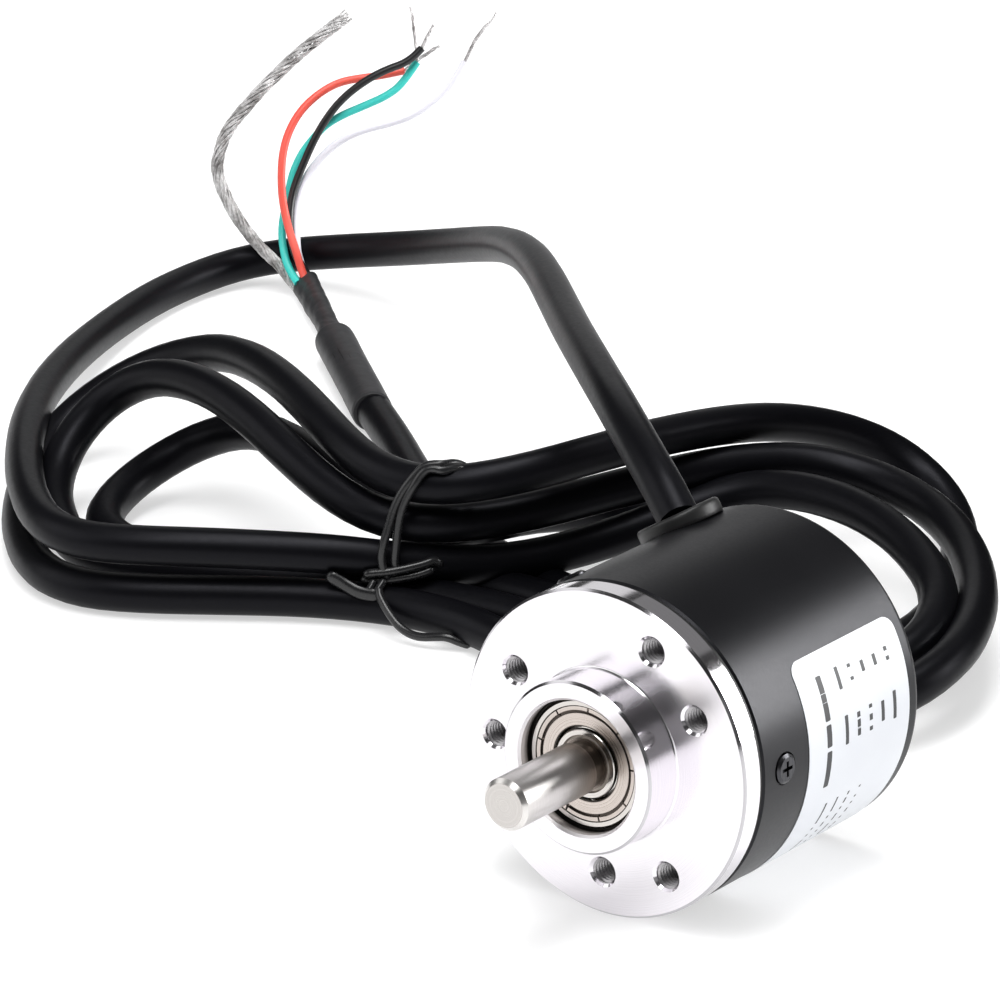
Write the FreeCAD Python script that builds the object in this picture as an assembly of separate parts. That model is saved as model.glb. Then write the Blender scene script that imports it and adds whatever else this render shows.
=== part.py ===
import FreeCAD, Part
import math, os

V = FreeCAD.Vector

# ---------------------------------------------------------------- dimensions
# Origin: centre of the flange's mounting face, on the shaft axis.
# The shaft points along -Y, the cable side is +Y, +Z is up (millimetres).
BODY_R = 19.0            # flange and shell radius
RIM_T = 3.1              # thickness of the flange rim
BOSS_R = 10.0            # pilot boss radius
BOSS_L = 5.0             # pilot boss length
SPIGOT_R = 17.65         # spigot inside the shell
SPIGOT_END = 10.0
TUBE_R = 10.4            # bearing tube behind the spigot
TUBE_END = 13.2
SHELL_Y0 = 3.5           # shell front edge
SHELL_Y1 = 34.0          # shell rear face
SHELL_IN = 17.7
SHELL_BACK = 1.5
SHAFT_R = 3.0
SHAFT_TIP = -18.0
SHAFT_END = 17.9
RELIEF_Y0, RELIEF_Y1, RELIEF_R = -5.25, -3.45, 2.7   # grinding relief between the free length and the bearing seat
BRG_D, BRG_W = 15.0, 5.0
BRG_FRONT_Y = -3.4       # front bearing front face, recessed in the boss
BRG_REAR_Y = 6.6
BALL_R = 1.19
BALL_PITCH_R = 5.25
BALLS = 8
M3_R = 1.5
M3_DEPTH = 7.0
PATTERN_A = (14.0, (30.0, 150.0, 270.0))
PATTERN_B = (15.0, (65.0, 185.0, 305.0))
SHELL_SCREW_ANGLES = (2.0, 122.0, 242.0)
SHELL_SCREW_Y = 7.5
STANDOFF_R, STANDOFF_ANGLES = 15.6, (45.0, 165.0, 285.0)
DISC_R, DISC_Y, DISC_T = 13.2, 17.0, 0.3
BOARD_R, BOARD_Y, BOARD_T = 16.6, 19.5, 1.6
GROMMET_ANGLE, GROMMET_Y = 122.0, 28.4
CABLE_R = 2.5
LEAD_R = 0.58            # insulated leads
BRAID_R = 0.8            # twisted bare braid
TIP_R = 0.35             # stripped strands
SLEEVE_L_R, SLEEVE_S_R = 2.95, 1.95
FLOOR = -BODY_R

os.makedirs("parts", exist_ok=True)
AX = V(0, 1, 0)


# ------------------------------------------------------------------- helpers
def save(name, shape):
    shape.exportStep("parts/%s.step" % name)
    print(name, len(shape.Solids), "solids, volume %.2f" % shape.Volume, "valid" if shape.isValid() else "NOT VALID")


def cyl(r, y0, y1, x=0.0, z=0.0):
    return Part.makeCylinder(r, y1 - y0, V(x, y0, z), AX)


def ring(ro, ri, y0, y1, x=0.0, z=0.0):
    return cyl(ro, y0, y1, x, z).cut(cyl(ri, y0 - 1, y1 + 1, x, z))


def box(x0, x1, y0, y1, z0, z1):
    return Part.makeBox(x1 - x0, y1 - y0, z1 - z0, V(x0, y0, z0))


def polar(r, deg, y=0.0):
    a = math.radians(deg)
    return V(r * math.cos(a), y, r * math.sin(a))


def radial(r, deg, y, r0, r1):
    d = polar(1.0, deg)
    return Part.makeCylinder(r, r1 - r0, d * r0 + V(0, y, 0), d)


def turned(pts):
    # closed profile of (radius, y) points; three-number entries are arcs
    # given as (radius, y, (mid radius, mid y)) ending at that point
    edges = []
    last = V(pts[0][0], pts[0][1], 0)
    for p in list(pts[1:]) + [pts[0][:2]]:
        q = V(p[0], p[1], 0)
        if len(p) == 3:
            edges.append(Part.Arc(last, V(p[2][0], p[2][1], 0), q).toShape())
        else:
            edges.append(Part.LineSegment(last, q).toShape())
        last = q
    return Part.Face(Part.Wire(edges)).revolve(V(0, 0, 0), AX, 360)


def spin(shape, deg):
    # turn about the shaft axis so that +X goes to the given angle
    s = shape.copy()
    s.rotate(V(0, 0, 0), AX, -deg)
    return s


def group(shapes):
    return Part.makeCompound(shapes)


def tube(points, r, name, quiet=False):
    # straight runs joined by tangent arcs, each as large as its runs allow
    P = [V(*p) for p in points]
    edges, radii = [], []
    last, length = P[0], 0.0
    for i in range(1, len(P) - 1):
        a, b = P[i] - P[i - 1], P[i + 1] - P[i]
        la, lb = a.Length, b.Length
        a.normalize()
        b.normalize()
        turn = a.getAngle(b)
        t = 0.45 * min(la, lb)
        rad = t / math.tan(turn / 2)
        radii.append(round(rad, 1))
        s, e = P[i] - a * t, P[i] + b * t
        n = b - a
        n.normalize()
        h = math.hypot(rad, t) - rad
        edges.append(Part.LineSegment(last, s).toShape())
        edges.append(Part.Arc(s, P[i] + n * h, e).toShape())
        last = e
    edges.append(Part.LineSegment(last, P[-1]).toShape())
    path = Part.Wire(edges)
    d = P[1] - P[0]
    d.normalize()
    prof = Part.Wire([Part.makeCircle(r, P[0], d)])
    s = path.makePipeShell([prof], True, False)
    want = math.pi * r * r * path.Length
    if not quiet:
        print("  tube %s length %.1f volume ratio %.4f smallest radius %.1f radii %s" % (name, path.Length, s.Volume / want, min(radii) if radii else 0, radii))
    return s


def biggest(shape):
    return max(shape.Solids, key=lambda s: s.Volume)


def plate(points, z0, z1):
    w = Part.makePolygon([V(x, y, z0) for x, y in points] + [V(points[0][0], points[0][1], z0)])
    return Part.Face(w).extrude(V(0, 0, z1 - z0))


# ------------------------------------------------------------ cable route
# straight out of the grommet, over the back, down to the surface on the far
# left, and in over the left end of the hank
LEAD = [(-10.3, 28.3, 16.7), (-14.6, 30.7, 19.4), (-21.4, 35.6, 21.4), (-29.6, 42.8, 22.2), (-38.5, 51.6, 21.5),
        (-48.5, 62.2, 19.8), (-59.7, 74.4, 17.5), (-72.2, 88.3, 15.0), (-85.5, 103.2, 12.2), (-99.2, 117.9, 8.7),
        (-112.9, 131.0, 4.1), (-126.1, 141.8, -1.2), (-138.8, 149.7, -6.2), (-150.9, 154.2, -10.3), (-161.7, 155.4, -13.2),
        (-170.3, 153.4, -15.0), (-175.5, 148.7, -16.0), (-177.4, 140.8, -16.5), (-176.4, 129.7, -16.5), (-172.4, 115.8, -16.0),
        (-165.4, 100.1, -14.8), (-155.9, 83.9, -13.2)]
# out from under the hank, along the surface
TAIL = [(-71.9, 75.3, -16.5), (-82.7, 80.7, -16.5), (-93.1, 87.6, -16.4), (-102.6, 95.5, -16.4), (-111.6, 103.4, -16.3), (-116.1, 107.3, -16.2)]
SLEEVE_L = [(-116.1, 107.3, -16.1), (-125.2, 114.8, -16.0), (-133.6, 121.3, -16.0), (-141.8, 128.0, -16.0)]
SLEEVE_S = [(-141.4, 127.6, -16.2), (-148.6, 134.2, -16.5), (-155.6, 141.1, -16.9), (-163.0, 148.45, -16.9)]
WIRES = {
    "wire_red": (LEAD_R, [(-162.96, 148.49, -15.8), (-163.86, 148.79, -14.8), (-165.1, 149.1, -12.2), (-167.6, 150.3, -9.1), (-169.3, 151.2, -5.7),
                          (-170.3, 152.2, -2.5), (-171.1, 153.6, 0.7), (-171.4, 155.5, 3.5), (-171, 157.8, 6.1), (-170, 160.8, 8.1),
                          (-168.7, 163.8, 9.3), (-166.6, 166.3, 9.7), (-164.4, 168.2, 10), (-161.8, 170.5, 10.7)]),
    "wire_green": (LEAD_R, [(-163.68, 147.75, -16.39), (-164.98, 148.36, -15.85), (-167, 149, -14.1), (-169.52, 151.16, -11.3), (-170.6, 152.9, -8.9),
                            (-170.8, 154.3, -6.4), (-171.1, 155.4, -4), (-171.1, 156.6, -2), (-170.7, 158, 0), (-169.8, 159.5, 1.9),
                            (-168.7, 160.7, 3.6), (-166.7, 162.2, 5.1), (-164.3, 164.3, 6.4), (-161.9, 166.4, 7.8), (-160.5, 168.4, 9.4),
                            (-159.5, 170.5, 12.4)]),
    "wire_black": (LEAD_R, [(-162.28, 149.19, -16.51), (-163.03, 149.85, -16.35), (-164.4, 150.17, -15.15), (-165.89, 149.72, -13), (-167.89, 151.12, -10.1),
                            (-169.04, 152.52, -7.5), (-169.5, 153.9, -4.9), (-169.4, 155.7, -2.1), (-168.9, 157.9, 1.6), (-168, 159.6, 4.6),
                            (-166.6, 161.6, 7.5), (-164.4, 164, 10), (-162.1, 166.3, 11.7), (-159.4, 168.9, 12.9), (-158.5, 170.4, 14.7)]),
    "wire_white": (LEAD_R, [(-162.47, 148.99, -17.69), (-163.44, 150, -17.52), (-164.86, 150.91, -16.15), (-166.25, 150.97, -13.7), (-167.21, 151.77, -11.5),
                            (-168.77, 153.65, -8.5), (-169.55, 155.68, -5), (-168.72, 157.56, -2), (-166.6, 160.1, 1.2), (-163.9, 162.4, 3.1),
                            (-160.9, 165.2, 4), (-158.2, 167.8, 5.1), (-156.2, 170.5, 7.2), (-154.5, 173.1, 9.7), (-154, 174.8, 12.4)]),
    "wire_shield": (BRAID_R, [(-163.47, 147.97, -17.77), (-164.74, 148.82, -17.62), (-166.37, 149.16, -16.65), (-167.98, 149.14, -15.1), (-171.28, 148.64, -12.8),
                              (-175, 148.6, -9.8), (-177.3, 148.3, -6.6), (-179.2, 148.4, -3.2), (-179.6, 149, -0.7), (-179.3, 150.4, 2.7),
                              (-178.2, 152.8, 5.6), (-176.5, 155.9, 8.9), (-174.5, 159, 12.1), (-172, 162.4, 15.4), (-168.8, 166.4, 18.8)]),
}
TIPS = {
    "wire_green": [(-159.5, 170.5, 12.4), (-159.8, 170.9, 13.8), (-160.8, 171.5, 16.5), (-161.7, 172.1, 20)],
    "wire_black": [(-158.5, 170.4, 14.7), (-158.3, 171.3, 16.3), (-157.8, 172.4, 17.7)],
    "wire_red": [(-161.8, 170.5, 10.7), (-160.6, 172.1, 12.2), (-159.6, 173.3, 13.1), (-158.5, 174.6, 14.2)],
    "wire_white": [(-154, 174.8, 12.4), (-153.7, 175.8, 14.3), (-153.2, 177.1, 16.2), (-151.8, 179.5, 19.1)],
}
HANK_BASE = [(-113.5, 33.2), (-104.0, 33.4), (-95.5, 37.5), (-78.5, 48.8), (-66.5, 52.4), (-41.5, 46.7), (-32.5, 45.1), (-18.5, 45.1),
             (-12.0, 46.6), (-5.5, 49.7), (-0.4, 54.8), (2.8, 62.5), (2.8, 70.0), (1.1, 76.0), (-2.9, 84.5), (-10.0, 94.7),
             (-17.0, 101.8), (-22.9, 111.5), (-29.5, 119.4), (-36.5, 122.4), (-42.5, 121.8), (-47.4, 118.0), (-51.4, 109.0),
             (-53.0, 105.2), (-58.0, 103.2), (-63.6, 98.2), (-67.8, 90.0), (-71.2, 81.0), (-74.0, 80.6), (-82.3, 84.0),
             (-85.7, 79.0), (-87.0, 71.5), (-96.0, 73.2), (-108.5, 79.2), (-121.0, 85.4), (-131.0, 87.6), (-137.5, 87.2),
             (-143.0, 84.6), (-146.5, 81.0), (-149.6, 81.4), (-157.0, 91.7), (-162.2, 88.7), (-160.4, 85.6), (-153.0, 74.2),
             (-142.0, 60.0), (-136.7, 51.8), (-127.0, 41.1), (-120.5, 36.2)]
HANK_HOLE_L = [(-106.0, 56.0), (-115.5, 57.0), (-120.5, 63.0), (-121.0, 67.5), (-117.5, 70.0), (-111.0, 68.5), (-98.0, 63.0), (-96.0, 60.5), (-100.0, 58.6)]
HANK_HOLE_R = [(-53.0, 76.0), (-48.5, 74.3), (-42.5, 76.3), (-38.5, 80.5), (-37.3, 84.5), (-38.0, 89.0), (-42.5, 88.3), (-48.5, 84.0)]
HANK_TOP = [(-63.0, 60.2), (-68.0, 57.6), (-78.5, 55.6), (-86.0, 55.7), (-96.5, 60.8), (-98.2, 63.3), (-111.0, 68.8), (-117.5, 70.3),
            (-124.0, 67.0), (-132.5, 68.0), (-137.5, 78.0), (-140.0, 83.0), (-137.5, 86.9), (-131.0, 87.3), (-121.0, 85.1),
            (-108.5, 78.9), (-96.0, 72.9), (-84.0, 67.5), (-75.0, 66.0), (-66.8, 73.5), (-57.0, 90.0), (-51.3, 109.0),
            (-46.0, 117.6), (-42.0, 117.6), (-44.0, 108.0), (-34.0, 107.0), (-34.0, 99.0), (-20.0, 93.2), (-21.0, 88.2), (-37.5, 91.8),
            (-50.2, 87.6), (-54.2, 76.0), (-58.2, 67.4)]
HANK_HUMP = [(-126.0, 80.8), (-113.0, 75.9), (-103.0, 70.8), (-93.0, 65.0), (-85.0, 61.0), (-84.5, 66.8), (-95.5, 71.6), (-105.0, 76.6), (-115.0, 81.6), (-126.0, 86.0)]
TIE = [(-68.7, 50.3, -18.0), (-68.7, 50.4, -10.5), (-68.9, 50.9, -3.4), (-69.8, 54.4, 1.4), (-71.6, 58.4, 3.2), (-74.6, 63.0, 3.3), (-77.4, 67.4, 1.6), (-78.3, 69.6, -2.0), (-78.4, 70.0, -4.6)]

# ---------------------------------------------------------------- flange
flange = turned([(0, -BOSS_L), (BOSS_R - 0.3, -BOSS_L), (BOSS_R, -BOSS_L + 0.3), (BOSS_R, 0), (BODY_R - 0.3, 0), (BODY_R, 0.3),
                 (BODY_R, RIM_T - 0.3), (BODY_R - 0.3, RIM_T), (SPIGOT_R, RIM_T), (SPIGOT_R, SPIGOT_END - 0.3), (SPIGOT_R - 0.3, SPIGOT_END),
                 (TUBE_R, SPIGOT_END), (TUBE_R, TUBE_END), (0, TUBE_END)])
bore = [cyl(7.51, -BOSS_L - 1, BRG_FRONT_Y + BRG_W), cyl(6.6, 0, 7), cyl(7.51, BRG_REAR_Y, TUBE_END + 1),
        ring(8.1, 7.0, 11.98, 12.62), turned([(0, -BOSS_L - 0.1), (8.05, -BOSS_L - 0.1), (8.05, -BOSS_L), (7.75, -BOSS_L + 0.3), (7.75, BRG_FRONT_Y + 0.5), (0, BRG_FRONT_Y + 0.5)])]
for pr, angs in (PATTERN_A, PATTERN_B):
    for a in angs:
        c = polar(pr, a)
        bore.append(cyl(M3_R, -0.5, M3_DEPTH, c.x, c.z))
        bore.append(Part.makeCone(M3_R + 0.3, M3_R, 0.3, c, AX))
        bore.append(Part.makeCone(M3_R, 0.0, 0.8, c + V(0, M3_DEPTH, 0), AX))
for a in SHELL_SCREW_ANGLES:
    bore.append(radial(1.01, a, SHELL_SCREW_Y, 12.8, 18.2))
for a in STANDOFF_ANGLES:
    c = polar(STANDOFF_R, a)
    bore.append(cyl(0.81, 8.0, SPIGOT_END + 1, c.x, c.z))
for sx in (-1, 1):
    bore.append(cyl(0.71, 7.9, SPIGOT_END + 1, sx * 4.8, 13.2))
flange = flange.cut(bore)
save("front_flange", flange)
save("flange_seal", ring(BODY_R - 0.25, SPIGOT_R + 0.02, RIM_T, SHELL_Y0))

# ----------------------------------------------------------------- shell
f = 1.0
s45 = f * (1 - math.sqrt(0.5))
shell = turned([(SHELL_IN, SHELL_Y0), (BODY_R - 0.25, SHELL_Y0), (BODY_R, SHELL_Y0 + 0.25), (BODY_R, SHELL_Y1 - f),
                (BODY_R - f, SHELL_Y1, (BODY_R - s45, SHELL_Y1 - s45)), (0, SHELL_Y1), (0, SHELL_Y1 - SHELL_BACK), (SHELL_IN, SHELL_Y1 - SHELL_BACK)])
cuts = [radial(3.6, GROMMET_ANGLE, GROMMET_Y, 15, 21)]
for a in SHELL_SCREW_ANGLES:
    cuts += [radial(1.9, a, SHELL_SCREW_Y, 18.5, 21), radial(1.1, a, SHELL_SCREW_Y, 16, 20)]
shell = shell.cut(cuts)
save("housing_shell", shell)

screw = Part.makeCylinder(1.7, 0.6, V(18.5, SHELL_SCREW_Y, 0), V(1, 0, 0)).fuse(Part.makeCone(1.7, 1.35, 0.25, V(19.1, SHELL_SCREW_Y, 0), V(1, 0, 0)))
screw = screw.fuse(Part.makeCylinder(1.0, 5.0, V(13.5, SHELL_SCREW_Y, 0), V(1, 0, 0)))
screw = screw.cut([box(18.75, 20, SHELL_SCREW_Y - 0.9, SHELL_SCREW_Y + 0.9, -0.2, 0.2), box(18.75, 20, SHELL_SCREW_Y - 0.2, SHELL_SCREW_Y + 0.2, -0.9, 0.9)]).removeSplitter()
save("shell_screws", group([spin(screw, a) for a in SHELL_SCREW_ANGLES]))

lab = Part.Face(Part.makePolygon([V(BODY_R + 0.01, 12.1, 0), V(BODY_R + 0.08, 12.1, 0), V(BODY_R + 0.08, 31.7, 0), V(BODY_R + 0.01, 31.7, 0), V(BODY_R + 0.01, 12.1, 0)]))
save("label", spin(lab.revolve(V(0, 0, 0), AX, 108.5), 33.5))

# ------------------------------------------------- grommet and inner cable
d0 = (V(*LEAD[1]) - V(*LEAD[0])).normalize()
gd = polar(1.0, GROMMET_ANGLE)
collar = radial(5.1, GROMMET_ANGLE, GROMMET_Y, 17, 20.1).fuse(Part.makeCone(5.1, 4.6, 0.4, gd * 20.1 + V(0, GROMMET_Y, 0), gd)).cut(cyl(BODY_R + 0.02, 15, 40))
stem = radial(3.55, GROMMET_ANGLE, GROMMET_Y, 16.8, 19.6)
lip = radial(4.6, GROMMET_ANGLE, GROMMET_Y, 15.9, 18.5).common(cyl(SHELL_IN - 0.02, 20, 32.4))
grommet = collar.fuse([stem, lip]).removeSplitter()
grommet = grommet.cut([radial(2.45, GROMMET_ANGLE, GROMMET_Y, 14, 19.4), Part.makeCylinder(CABLE_R + 0.02, 14, V(*LEAD[0]) - d0 * 1.2, d0)])
save("cable_grommet", biggest(grommet))
save("inner_cable", radial(2.4, GROMMET_ANGLE, GROMMET_Y, 13.0, 17.6))
save("cable_crimp", radial(3.2, GROMMET_ANGLE, GROMMET_Y, 13.8, 15.6).cut(radial(2.41, GROMMET_ANGLE, GROMMET_Y, 13, 17)))
leads = []
for i in range(5):
    u = i - 2
    s = polar(12.98, GROMMET_ANGLE, GROMMET_Y + 0.82 * u)
    leads.append(tube([tuple(s), tuple(polar(9.4, GROMMET_ANGLE, GROMMET_Y + 0.82 * u)), (-3.0 + 0.5 * u, 27.6 + 0.45 * u, 3.6 + 0.15 * u), (-0.8 + 1.2 * u, 26.9 + 0.2 * u, -1.6), (1.6 * u, 25.9, -5.4), (1.9 * u, 23.9, -7.1)], 0.33, "inner lead", True))
head = box(-5, 5, BOARD_Y + BOARD_T, 23.6, -8.6, -5.6)
leads = [biggest(l.cut(head)) for l in leads]
save("inner_leads", group(leads))
save("wire_header", head)


# -------------------------------------------------------------- bearings
def bearing(y0, name):
    y1, ym = y0 + BRG_W, y0 + BRG_W / 2
    race = Part.makeTorus(BALL_PITCH_R, BALL_R + 0.05, V(0, ym, 0), AX)
    ro, ri = BRG_D / 2, SHAFT_R + 0.01
    # both rings have chamfered edges and a step at each face for the shields
    outer = turned([(ro - 0.3, y0), (ro, y0 + 0.3), (ro, y1 - 0.3), (ro - 0.3, y1), (6.72, y1), (6.62, y1 - 0.1), (6.62, y1 - 0.55), (6.05, y1 - 0.55),
                    (6.05, y0 + 0.55), (6.62, y0 + 0.55), (6.62, y0 + 0.1), (6.72, y0)]).cut(race)
    inner = turned([(ri + 0.35, y0), (3.88, y0), (3.98, y0 + 0.1), (3.98, y0 + 0.62), (4.3, y0 + 0.75), (4.3, y1 - 0.75), (3.98, y1 - 0.62), (3.98, y1 - 0.1),
                    (3.88, y1), (ri + 0.35, y1), (ri, y1 - 0.35), (ri, y0 + 0.35)]).cut(race)
    slits = []
    for k in range(9):
        slits.append(spin(box(5.9, 6.8, y0 - 1, y1 + 1, -0.11, 0.11), 7.0 + 40 * k))
    # pressed shields: crimped rim, bead and flat dish
    sec = [(6.60, 0.08), (6.60, 0.52), (5.70, 0.52), (5.70, 0.36), (4.52, 0.36), (4.52, 0.50), (4.33, 0.50), (4.33, 0.14), (5.78, 0.14), (5.84, 0.20), (5.84, 0.34), (6.12, 0.34), (6.12, 0.14), (6.18, 0.08)]
    shields = [turned([(r, y0 + h) for r, h in sec]).cut(slits), turned([(r, y1 - h) for r, h in sec]).cut(slits)]
    balls = [Part.makeSphere(BALL_R, polar(BALL_PITCH_R, 360.0 / BALLS * k, ym)) for k in range(BALLS)]
    pockets = [radial(BALL_R + 0.04, 360.0 / BALLS * k, ym, 4.0, 7.0) for k in range(BALLS)]
    cage = ring(5.75, 4.75, ym - 1.7, ym + 1.7).cut(pockets)
    save(name + "_bearing_outer", outer)
    save(name + "_bearing_inner", inner)
    save(name + "_bearing_shields", group(shields))
    save(name + "_bearing_cage", cage)
    save(name + "_bearing_balls", group(balls))


bearing(BRG_FRONT_Y, "front")
bearing(BRG_REAR_Y, "rear")
save("wave_washer", ring(7.3, 6.2, 11.6, 11.95))
save("retaining_ring", ring(8.0, 6.4, 12.0, 12.6).cut(box(-1.5, 1.5, 11, 13, -9, 0)))

# ---------------------------------------------------------- shaft group
shaft = turned([(0, SHAFT_TIP), (SHAFT_R - 0.5, SHAFT_TIP), (SHAFT_R, SHAFT_TIP + 0.5), (SHAFT_R, RELIEF_Y0), (RELIEF_R, RELIEF_Y0), (RELIEF_R, RELIEF_Y1), (SHAFT_R, RELIEF_Y1), (SHAFT_R, 11.8), (2.7, 11.8), (2.7, 12.4), (SHAFT_R, 12.4),
                (SHAFT_R, SHAFT_END - 0.3), (SHAFT_R - 0.3, SHAFT_END), (0, SHAFT_END)])
save("encoder_shaft", shaft)
save("bearing_spacer", ring(4.1, SHAFT_R + 0.01, BRG_FRONT_Y + BRG_W, BRG_REAR_Y))
save("shaft_shim", ring(4.1, SHAFT_R + 0.01, 11.6, 11.83))
save("shaft_circlip", ring(4.2, 2.72, 11.86, 12.34).cut(box(-1.4, 1.4, 11, 13, -6, 0)))
hub = turned([(SHAFT_R + 0.01, 12.8), (5.2, 12.8), (5.2, 15.8), (6.6, 15.8), (6.6, DISC_Y), (4.0, DISC_Y), (4.0, DISC_Y + 0.5), (SHAFT_R + 0.01, DISC_Y + 0.5)])
hub = hub.cut([radial(1.01, 0, 14.2, 2, 6), radial(1.01, 90, 14.2, 2, 6)])
save("disc_hub", hub)
save("hub_set_screws", group([radial(1.0, a, 14.2, SHAFT_R + 0.02, 5.0).cut(spin(box(4.3, 6, 13.55, 14.85, -0.15, 0.15), a)) for a in (0, 90)]))
save("code_disc", ring(DISC_R, 4.02, DISC_Y, DISC_Y + DISC_T))
save("disc_clamp_ring", ring(6.2, 4.02, DISC_Y + DISC_T, DISC_Y + DISC_T + 0.5))

# -------------------------------------------------- optics and electronics
holder = box(-6.6, 6.6, SPIGOT_END, 13.6, 10.9, 15.4)
holder = holder.cut([cyl(1.6, 9, 20, 0, 13.2), cyl(0.8, 9, 20, -4.8, 13.2), cyl(0.8, 9, 20, 4.8, 13.2)])
save("led_holder", holder)
save("led_holder_screws", group([cyl(1.3, 13.6, 14.4, sx * 4.8, 13.2).fuse(cyl(0.7, 8.2, 13.6, sx * 4.8, 13.2)).cut(box(sx * 4.8 - 1.5, sx * 4.8 + 1.5, 14.0, 15, 13.05, 13.35)) for sx in (-1, 1)]))
led = cyl(1.55, SPIGOT_END, 14.2, 0, 13.2).fuse(Part.makeSphere(1.55, V(0, 14.2, 13.2))).removeSplitter()
save("led_emitter", led)
save("photo_sensor", box(-3.2, 3.2, 18.15, BOARD_Y, 9.6, 14.4))
save("reticle_plate", box(-3.2, 3.2, 17.85, 18.15, 9.6, 14.4))
board = cyl(BOARD_R, BOARD_Y, BOARD_Y + BOARD_T)
stand, bscr = [], []
for a in STANDOFF_ANGLES:
    c = polar(STANDOFF_R, a)
    board = board.cut(cyl(0.9, BOARD_Y - 1, BOARD_Y + 4, c.x, c.z))
    stand.append(cyl(1.5, SPIGOT_END, BOARD_Y, c.x, c.z).fuse(cyl(0.8, 8.1, SPIGOT_END, c.x, c.z)).cut(cyl(0.81, BOARD_Y - 4, BOARD_Y + 1, c.x, c.z)))
    sc = cyl(1.4, BOARD_Y + BOARD_T, BOARD_Y + BOARD_T + 1.0, c.x, c.z).fuse(cyl(0.8, BOARD_Y - 3.6, BOARD_Y + BOARD_T, c.x, c.z))
    bscr.append(sc.cut([box(c.x - 0.9, c.x + 0.9, BOARD_Y + BOARD_T + 0.5, 30, c.z - 0.15, c.z + 0.15), box(c.x - 0.15, c.x + 0.15, BOARD_Y + BOARD_T + 0.5, 30, c.z - 0.9, c.z + 0.9)]))
save("circuit_board", board)
save("board_standoffs", group(stand))
save("board_screws", group(bscr))
yb = BOARD_Y + BOARD_T
save("comparator_chip", box(-3.0, 3.0, yb, yb + 1.5, -2.6, 2.0))
save("driver_chips", group([box(x - 1.5, x + 1.5, yb, yb + 1.1, z - 0.75, z + 0.75) for x, z in ((8.5, 3.0), (8.5, 0.0), (8.5, -3.0))]))
save("chip_resistors", group([box(x - 1.0, x + 1.0, yb, yb + 0.5, z - 0.6, z + 0.6) for x, z in ((-8.5, 2.8), (-8.5, 0.8), (-8.5, -1.2), (-8.5, -3.2), (5.5, 5.6), (2.6, 5.6))]))
save("chip_capacitors", group([box(x - 1.0, x + 1.0, yb, yb + 0.8, z - 0.6, z + 0.6) for x, z in ((-5.2, -4.4), (4.6, -4.4), (-1.6, 5.6))]))
save("tank_capacitor", cyl(2.0, yb, yb + 5.4, 8.2, -9.2))
trim = box(6.0, 9.4, yb, yb + 2.0, 7.0, 10.4).cut(box(6.7, 8.7, yb + 1.6, yb + 3, 8.5, 8.9))
save("gain_trimmer", trim)

# ------------------------------------------------------------------ cable
hank = plate(HANK_BASE, FLOOR, -5.0).cut([plate(HANK_HOLE_L, FLOOR - 1, 0), plate(HANK_HOLE_R, FLOOR - 1, 0)])
hank = hank.fuse([plate(HANK_TOP, -5.0, 1.6), plate(HANK_HUMP, 1.6, 6.6)]).removeSplitter()
hank = biggest(hank)
save("cable_hank", hank)
save("cable_lead", biggest(tube(LEAD, CABLE_R, "lead").cut(hank)))
sleeve = tube(SLEEVE_L, SLEEVE_L_R, "large sleeve")
save("cable_tail", biggest(tube(TAIL, CABLE_R, "tail").cut([hank, sleeve])))
small = biggest(tube(SLEEVE_S, SLEEVE_S_R, "small sleeve").cut(sleeve))
save("heat_shrink_large", sleeve)
save("heat_shrink_small", small)
wires = {}
for name, (r, pts) in WIRES.items():
    wires[name] = biggest(tube(pts, r, name).cut(small))
    save(name, wires[name])
tips = [biggest(tube(pts, TIP_R, "tip " + name).cut(wires[name])) for name, pts in TIPS.items()]
save("wire_tips", group(tips))
save("twist_tie", biggest(tube(TIE, 0.7, "tie").cut(hank)))
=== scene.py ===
import bpy, bmesh, math, random
from mathutils import Vector, Matrix, noise


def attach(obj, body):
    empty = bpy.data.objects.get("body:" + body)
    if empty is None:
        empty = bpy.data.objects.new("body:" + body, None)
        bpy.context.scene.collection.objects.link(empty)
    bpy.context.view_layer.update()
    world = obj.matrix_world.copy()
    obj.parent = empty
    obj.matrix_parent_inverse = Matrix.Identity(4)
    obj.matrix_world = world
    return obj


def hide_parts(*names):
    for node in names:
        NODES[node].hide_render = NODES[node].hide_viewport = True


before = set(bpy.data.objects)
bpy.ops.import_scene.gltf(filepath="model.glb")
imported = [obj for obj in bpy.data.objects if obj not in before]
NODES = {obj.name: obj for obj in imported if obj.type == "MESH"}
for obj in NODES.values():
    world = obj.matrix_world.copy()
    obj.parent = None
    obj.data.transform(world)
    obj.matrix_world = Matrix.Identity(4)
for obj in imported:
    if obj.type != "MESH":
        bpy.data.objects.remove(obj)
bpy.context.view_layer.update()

scene = bpy.context.scene
MM = 0.001

# ------------------------------------------------------------------- camera
AZ, EL = math.radians(37.343), math.radians(20.128)
cam_data = bpy.data.cameras.new("camera")
cam = bpy.data.objects.new("camera", cam_data)
scene.collection.objects.link(cam)
cam.location = (0.355127, -0.484082, 0.249671)
fwd = Vector((-math.sin(AZ) * math.cos(EL), math.cos(AZ) * math.cos(EL), -math.sin(EL)))
cam.rotation_mode = "QUATERNION"
cam.rotation_quaternion = fwd.to_track_quat("-Z", "Y")
cam_data.sensor_width = 36.0
cam_data.lens = 213.64
cam_data.clip_start, cam_data.clip_end = 0.05, 20.0
scene.camera = cam
scene.view_settings.view_transform = "Standard"


# ------------------------------------------------------------------ helpers
def add(name, mesh_or_curve, material=None, body="housing", replaces=()):
    o = bpy.data.objects.new(name, mesh_or_curve)
    scene.collection.objects.link(o)
    if material is not None:
        o.data.materials.append(material)
    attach(o, body)
    if replaces:
        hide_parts(*replaces)
    return o


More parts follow.
